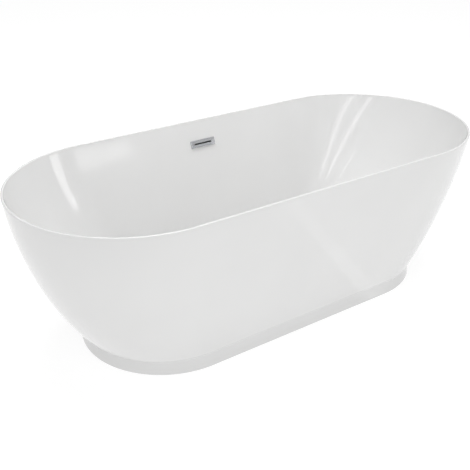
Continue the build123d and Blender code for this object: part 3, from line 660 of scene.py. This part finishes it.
# ---- board and blocks ----
# A birch plywood board laminated under the basin floor, and six sawn softwood blocks bonded inside
# the skirt. Pan-head screws fix the frame to both.
plywood, shader = new_material("birch plywood", (0.60, 0.43, 0.25), 0.6)
grain = ramp(plywood, noise(plywood, 30, 6, (0.25, 3, 3)),
             (0.3, (0.50, 0.34, 0.18)), (0.7, (0.70, 0.53, 0.33)))
plies = plywood.node_tree.nodes.new("ShaderNodeTexWave")
plies.bands_direction = "Z"
plies.inputs["Scale"].default_value = 130
plies.inputs["Distortion"].default_value = 0.4
where = plywood.node_tree.nodes.new("ShaderNodeTexCoord")
plywood.node_tree.links.new(where.outputs["Object"], plies.inputs["Vector"])
mix = plywood.node_tree.nodes.new("ShaderNodeMix")
mix.data_type = "RGBA"
mix.blend_type = "MULTIPLY"
mix.inputs["Factor"].default_value = 0.35
plywood.node_tree.links.new(grain, mix.inputs["A"])
plywood.node_tree.links.new(plies.outputs["Color"], mix.inputs["B"])
plywood.node_tree.links.new(mix.outputs["Result"], shader.inputs["Base Color"])
bump(plywood, shader, noise(plywood, 60, 6, (0.2, 3, 3)), 0.0003, 0.6)
finish_node("floor_board", plywood)

softwood, shader = new_material("sawn softwood", (0.66, 0.47, 0.27), 0.7)
rings = ramp(softwood, noise(softwood, 45, 5, (3, 0.2, 3)),
             (0.3, (0.52, 0.33, 0.16)), (0.65, (0.74, 0.56, 0.34)))
softwood.node_tree.links.new(rings, shader.inputs["Base Color"])
bump(softwood, shader, noise(softwood, 150, 5, (3, 0.2, 3)), 0.0005, 0.7)
for number in range(1, 7):
    finish_node(f"anchor_block_{number}", softwood)


def pan_screw(x, y, head_z, length):
    """Pan-head screw standing head down: a domed head, then a shank with a thread cut on it."""
    head = [(0, -3), (3.2, -2.9), (4.4, -2.3), (4.9, -1.4), (5, -0.1), (2.4, 0), (0, 0)]
    rows = np.arange(0, length - 3, 0.45)
    shank = threaded(rows, 2.45, 1.8, 0.45, (x, y), 14)
    shank[..., 2] += head_z
    tip = shank[-1:].mean(axis=1, keepdims=True).repeat(14, axis=1) + np.array([0, 0, 0.0028])
    foot = shank[:1].mean(axis=1, keepdims=True).repeat(14, axis=1)
    return turned(head, (x, y, head_z), steps=28), np.concatenate([foot, shank, tip])


def screw_set(name, places, node):
    """One mesh of all the screws that the CAD node holds, from its own box."""
    low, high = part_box(node)
    length = (high[2] - low[2]) * 1000 - 3
    parts = [grid for x, y in places for grid in pan_screw(x, y, low[2] + 0.003, length)]
    add_piece(name, closed_mesh(name, *parts, close_rows=False), zinc, "bath", "zinc_steel", node)


RAIL_Y = 0.110
BLOCK_SCREW_Y = 0.224
rail_places = [(x, y) for x in (-0.380, -0.090, 0.090, 0.380) for y in (-RAIL_Y, RAIL_Y)]
block_places = [(x, np.copysign(BLOCK_SCREW_Y, y)) for x, y, _ in feet]
screw_set("rail_screws", rail_places, "board_screws")
screw_set("block_screws", block_places, "frame_screws")

# ---- bond bead ----
# The methacrylate bead that joins the two skins under the rim, run in by hand, so it is a little
# uneven and off-white.
adhesive, shader = new_material("cured adhesive", (0.62, 0.60, 0.52), 0.45)
patch = ramp(adhesive, noise(adhesive, 25, 5), (0.3, (0.55, 0.53, 0.44)), (0.7, (0.68, 0.66, 0.58)))
adhesive.node_tree.links.new(patch, shader.inputs["Base Color"])
bump(adhesive, shader, noise(adhesive, 120, 4), 0.0008, 0.8)
finish_node("rim_bond", adhesive)

# ---- waste body and trap ----
# White polypropylene mouldings, pushed and screwed together: the body under the waste, a low trap
# with a ribbed lid, its inner baffle, a lugged union nut, and an elbow down to the floor pipe.
white_plastic = moulded("white moulded plastic", (0.74, 0.74, 0.72), 0.36, 600, 0.00004, 0.03)
for node in ("waste_body", "trap_canister", "trap_baffle"):
    finish_node(node, white_plastic)
PORT_Z = 58.0
TRAP_X = 125.0


def nut_lugs(turn, height):
    """Eight lugs, 1.2 mm high, round the union nut and short of its ends."""
    lug = 0.0012 * np.clip(3 * np.cos(8 * turn) - 1.2, 0, 1)
    return lug * (height > 0.0015) * (height < 0.0225)


def lid_grip(turn, height):
    """24 grip notches, 1.2 mm deep, round the edge of the trap's lid."""
    return -0.0012 * (np.cos(24 * turn) > 0.35) * (height > 0.0808) * (height < 0.0844)


nut_profile = [(20.25, 0), (21.6, 0), (22.3, 0.7), (22.3, 23.3), (21.6, 24), (20.25, 24)]
nut_profile = nut_profile[:3] + [(22.3, h) for h in np.linspace(1.2, 22.8, 12)] + nut_profile[3:]
nut_mesh = closed_mesh("union_nut", turned(nut_profile, (0.040, 0, PORT_Z / 1000), (1, 0, 0), 96, nut_lugs))
add_piece("union_nut", nut_mesh, white_plastic, "bath", "white_plastic", "trap_nut")
lid_profile = [(0, 75.2), (40, 75.2), (41.6, 75.8), (41.7, 80.15), (46, 80.15), (46.6, 80.7),
               (46.6, 80.9), (46.6, 84.3), (46.2, 84.8), (45.2, 85.1), (39, 85.1), (38, 84.2),
               (14, 84.2), (13, 85.0), (0, 85.1)]
lid_mesh = closed_mesh("trap_cap", turned(lid_profile, (TRAP_X / 1000, 0, 0), steps=144, twist=lid_grip))
add_piece("trap_cap", lid_mesh, white_plastic, "bath", "white_plastic", "trap_lid")

ELBOW_START = 173.0
ELBOW_X = 222.0
ELBOW_BEND = 25.0
ELBOW_FOOT = 6.0
ELBOW_R = 19.2
ELBOW_BORE_R = 17.5
SPIGOT_R = 20.0


def swept_tube(path, heading, outside, inside, steps=48):
    """Closed tube in the XZ or YZ plane: rings of the outside radius along the path, then back along
    it at the inside radius. heading holds the path's direction at each point."""
    level = np.cross(heading[0], heading[-1])
    level = level / np.linalg.norm(level)
    upright = np.cross(level, heading)
    turn = np.linspace(0, 2 * np.pi, steps, endpoint=False)[:, None]
    ring = np.cos(turn) * level + np.sin(turn) * upright[:, None, :]
    outer = path[:, None, :] + np.reshape(outside, (-1, 1, 1)) * ring
    inner = path[:, None, :] + np.reshape(inside, (-1, 1, 1)) * ring
    return np.concatenate([outer, inner[::-1]]) / 1000


swing = np.linspace(0, np.pi / 2, 20)
elbow_centre = np.array([ELBOW_X - ELBOW_BEND, 0, PORT_Z - ELBOW_BEND])
elbow_bend = elbow_centre + ELBOW_BEND * np.stack([np.sin(swing), 0 * swing, np.cos(swing)], axis=1)
elbow_heading = np.stack([np.cos(swing), 0 * swing, -np.sin(swing)], axis=1)
elbow_mouth = np.array([0, 1.5, 6, 6.6, 8])
elbow_leg = np.array([26.5, 18, 9, 1.2, 0])
elbow_path = np.concatenate([
    np.stack([ELBOW_START + elbow_mouth, 0 * elbow_mouth, PORT_Z + 0 * elbow_mouth], axis=1),
    elbow_bend,
    np.stack([ELBOW_X + 0 * elbow_leg, 0 * elbow_leg, ELBOW_FOOT + elbow_leg], axis=1),
])
level_run = np.tile([1.0, 0, 0], (len(elbow_mouth), 1))
down_run = np.tile([0, 0, -1.0], (len(elbow_leg), 1))
elbow_heading = np.concatenate([level_run, elbow_heading, down_run])
elbow_outside = np.concatenate([
    [19.4, SPIGOT_R, SPIGOT_R, ELBOW_R, ELBOW_R],
    np.full(len(elbow_bend), ELBOW_R),
    [SPIGOT_R, SPIGOT_R, SPIGOT_R, SPIGOT_R, 19.4],
])
elbow_inside = np.full(len(elbow_path), ELBOW_BORE_R)
elbow_mesh = closed_mesh("floor_elbow", swept_tube(elbow_path, elbow_heading, elbow_outside, elbow_inside))
add_piece("floor_elbow", elbow_mesh, white_plastic, "bath", "white_plastic", "outlet_elbow")

# ---- overflow hose ----
# Grey corrugated polypropylene hose, 26 mm across, bent once between the overflow channel and the
# waste body, with a knurled union nut at each end.
HOSE_R = 13.0
HOSE_BEND = 118.0
HOSE_RIB = 4.2
HOSE_END_Y = 34.0
HOSE_TOP_Z = 285.0
HOSE_CUFF = 15.0
HOSE_RIB_DEPTH = 1.5
HOSE_WALL = 0.9
NUT_R = 14.4
hose_plastic = moulded("grey hose plastic", (0.36, 0.37, 0.38), 0.40, 500, 0.00005)


def channel_middle(z):
    """Y half-way between the back of the basin and the inside of the skirt, on the long side."""
    near = basin_half(np.array(z), SKIN)[1] + 0.0005
    far = skirt_half(z, SKIN)[1] - 0.0005
    return float(near + far) * 500


hose_top = np.array([OVERFLOW_X * 1000, channel_middle(HOSE_TOP_Z / 1000), HOSE_TOP_Z])
fillet_top = FLOOR + BASIN_FILLET
hose_slope = (hose_top[1] - channel_middle(fillet_top)) / (HOSE_TOP_Z - 1000 * fillet_top)
hose_down = np.array([0, -hose_slope, -1]) / np.hypot(1, hose_slope)
hose_start = hose_top + 5 * hose_down
corner = np.array([hose_top[0], hose_top[1] - hose_slope * (HOSE_TOP_Z - PORT_Z), PORT_Z])
hose_turn = np.arccos(-hose_down[1])
tangent = HOSE_BEND * np.tan(hose_turn / 2)
run_down = np.linalg.norm(corner - hose_start) - tangent
run_in = corner[1] - HOSE_END_Y - tangent
hose_length = run_down + HOSE_BEND * hose_turn + run_in


def hose_line(s):
    """Point and heading at each length s along the hose: straight down, an arc of radius HOSE_BEND
    that turns it level, then straight in to the waste body."""
    bend = np.clip((s - run_down) / HOSE_BEND, 0, hose_turn)
    lean = np.arccos(-hose_down[2])
    angle = lean + bend
    heading = np.stack([0 * s, -np.sin(angle), -np.cos(angle)], axis=1)
    middle = hose_start + run_down * hose_down + HOSE_BEND * np.array([0, -np.cos(lean), np.sin(lean)])
    on_arc = middle + HOSE_BEND * np.stack([0 * s, np.cos(angle), -np.sin(angle)], axis=1)
    past_arc = np.maximum(s - run_down - HOSE_BEND * hose_turn, 0)
    straight = np.minimum(s - run_down, 0) + past_arc
    return on_arc + straight[:, None] * heading, heading


def collar_knurl(turn, height):
    """20 flutes, 0.7 mm deep, round a hose nut and short of its ends."""
    return -0.0007 * (np.cos(20 * turn) > 0.2) * (height > 0.0014) * (height < 0.0106)


ribbed_length = hose_length - 2 * HOSE_CUFF
rib_count = int(round(ribbed_length / HOSE_RIB))
hose_s = np.concatenate([
    [0, 0.4, 14],
    HOSE_CUFF + np.linspace(0, ribbed_length, 6 * rib_count + 1),
    hose_length - np.array([14, 0.4, 0]),
])
wave = 0.5 - 0.5 * np.cos(2 * np.pi * (hose_s - HOSE_CUFF) / ribbed_length * rib_count)
wave = wave**0.6 * (hose_s > HOSE_CUFF) * (hose_s < hose_length - HOSE_CUFF)
hose_path, hose_heading = hose_line(hose_s)
hose_outside = HOSE_R - HOSE_RIB_DEPTH + 1.45 * wave
hose_grid = swept_tube(hose_path, hose_heading, hose_outside, hose_outside - HOSE_WALL, 28)
hose_mesh = closed_mesh("corrugated_hose", hose_grid)
add_piece("corrugated_hose", hose_mesh, hose_plastic, "bath", "grey_hose", "overflow_hose",
          sharp=np.radians(60))
hose_nut_profile = [(13.15, 0.1), (13.9, 0.1), (NUT_R, 0.6), (NUT_R, 1.2), (NUT_R, 1.5), (NUT_R, 6),
                    (NUT_R, 10.5), (NUT_R, 10.8), (NUT_R, 11.4), (13.9, 11.9), (13.15, 11.9)]
upper_nut_at = (hose_start + 0.5 * hose_down) / 1000
lower_nut_at = np.array([hose_top[0], HOSE_END_Y + 1, PORT_Z]) / 1000
for name, node, at, axis in (
    ("hose_collar_upper", "hose_nut_upper", upper_nut_at, hose_down),
    ("hose_collar_lower", "hose_nut_lower", lower_nut_at, (0, 1, 0)),
):
    collar_mesh = closed_mesh(name, turned(hose_nut_profile, at, axis, 120, collar_knurl))
    add_piece(name, collar_mesh, white_plastic, "bath", "white_plastic", node)
finish_node("overflow_gasket", rubber)
finish_node("overflow_body", pad_plastic)

# ---- floor, light and camera ----
# A plain studio: a glowing paper floor that reads as white, a grey surround that is brighter on the
# camera's side, and long soft boxes for the streaks in the gloss.
floor_mesh = bpy.data.meshes.new("studio_floor")
FLOOR_REACH = 80
floor_corners = [(x * FLOOR_REACH, y * FLOOR_REACH, 0) for x, y in ((-1, -1), (1, -1), (1, 1), (-1, 1))]
floor_mesh.from_pydata(floor_corners, [], [(0, 1, 2, 3)])
studio_floor = bpy.data.objects.new("studio_floor", floor_mesh)
bpy.context.scene.collection.objects.link(studio_floor)
studio_floor.location.z = -0.0005
paper, shader = new_material("studio paper", (0.3, 0.3, 0.3), 0.9)
shader.inputs["Emission Color"].default_value = (1, 1, 1, 1)
shader.inputs["Emission Strength"].default_value = 0.78
floor_mesh.materials.append(paper)

# the surround is lit on the camera's side and falls off behind the bath
FRONT = np.radians(-120)
world = bpy.data.worlds.new("studio")
world.use_nodes = True
world_nodes, world_links = world.node_tree.nodes, world.node_tree.links
direction = world_nodes.new("ShaderNodeTexCoord")
turned_front = world_nodes.new("ShaderNodeMapping")
turned_front.inputs["Scale"].default_value = (0.5, 0.5, 0.5)
turned_front.inputs["Rotation"].default_value = (0, 0, -FRONT)
turned_front.inputs["Location"].default_value = (0.5, 0, 0)
front_share = world_nodes.new("ShaderNodeTexGradient")
world_links.new(direction.outputs["Generated"], turned_front.inputs["Vector"])
world_links.new(turned_front.outputs["Vector"], front_share.inputs["Vector"])
surround = ramp(world, front_share.outputs["Fac"], (0.0, 0.30), (0.4, 0.48), (0.65, 0.70), (1.0, 0.86))
world_links.new(surround, world_nodes["Background"].inputs["Color"])
world_nodes["Background"].inputs["Strength"].default_value = 1.0
bpy.context.scene.world = world


def soft_box(name, place, aim, size, power):
    """Rectangular area light at place, facing aim."""
    light = bpy.data.lights.new(name, "AREA")
    light.shape = "RECTANGLE"
    light.size, light.size_y = size
    light.energy = power
    lamp = bpy.data.objects.new(name, light)
    bpy.context.scene.collection.objects.link(lamp)
    lamp.visible_camera = False
    lamp.location = place
    lamp.rotation_euler = (Vector(aim) - Vector(place)).to_track_quat("-Z", "Y").to_euler()
    return lamp


soft_box("overhead", (0.3, 0.3, 4.0), (0, 0, 0.3), (3.0, 2.0), 114)
soft_box("front_low", (-0.35, -2.5, 1.60), (-0.35, 0, 1.60), (2.1, 0.06), 2.2)
soft_box("front_middle", (-1.50, -2.5, 2.00), (-1.50, 0, 2.00), (3.0, 0.12), 5.5)
soft_box("front_high", (-1.50, -2.5, 3.00), (-1.50, 0, 3.00), (1.2, 0.08), 1.6)
soft_box("far_right", (5.85, -5.0, 1.88), (5.85, 0, 1.88), (2.1, 0.16), 7)
soft_box("front_patch", (0.80, -2.5, 1.19), (0.80, 0, 1.19), (0.5, 0.14), 0.6)
soft_box("floor_strip", (0.325, -0.60, 0.002), (0.325, -0.60, 1), (0.07, 0.60), 0.04)
soft_box("floor_pool", (-0.30, -0.62, 0.002), (-0.30, -0.62, 1), (0.74, 0.62), 0.08)

camera_data = bpy.data.cameras.new("camera")
camera_data.lens = 56.28
camera_data.sensor_width = 36
camera = bpy.data.objects.new("camera", camera_data)
bpy.context.scene.collection.objects.link(camera)
azimuth, elevation = np.radians(-34.66), np.radians(27.18)
CAMERA_DISTANCE = 2.486
aim = Vector((-0.1151, -0.0328, HEIGHT / 2))
back = Vector((np.sin(azimuth) * np.cos(elevation), -np.cos(azimuth) * np.cos(elevation), np.sin(elevation)))
camera.location = aim + back * CAMERA_DISTANCE
camera.rotation_euler = (-back).to_track_quat("-Z", "Y").to_euler()
bpy.context.scene.camera = camera
bpy.context.scene.view_settings.view_transform = "Standard"
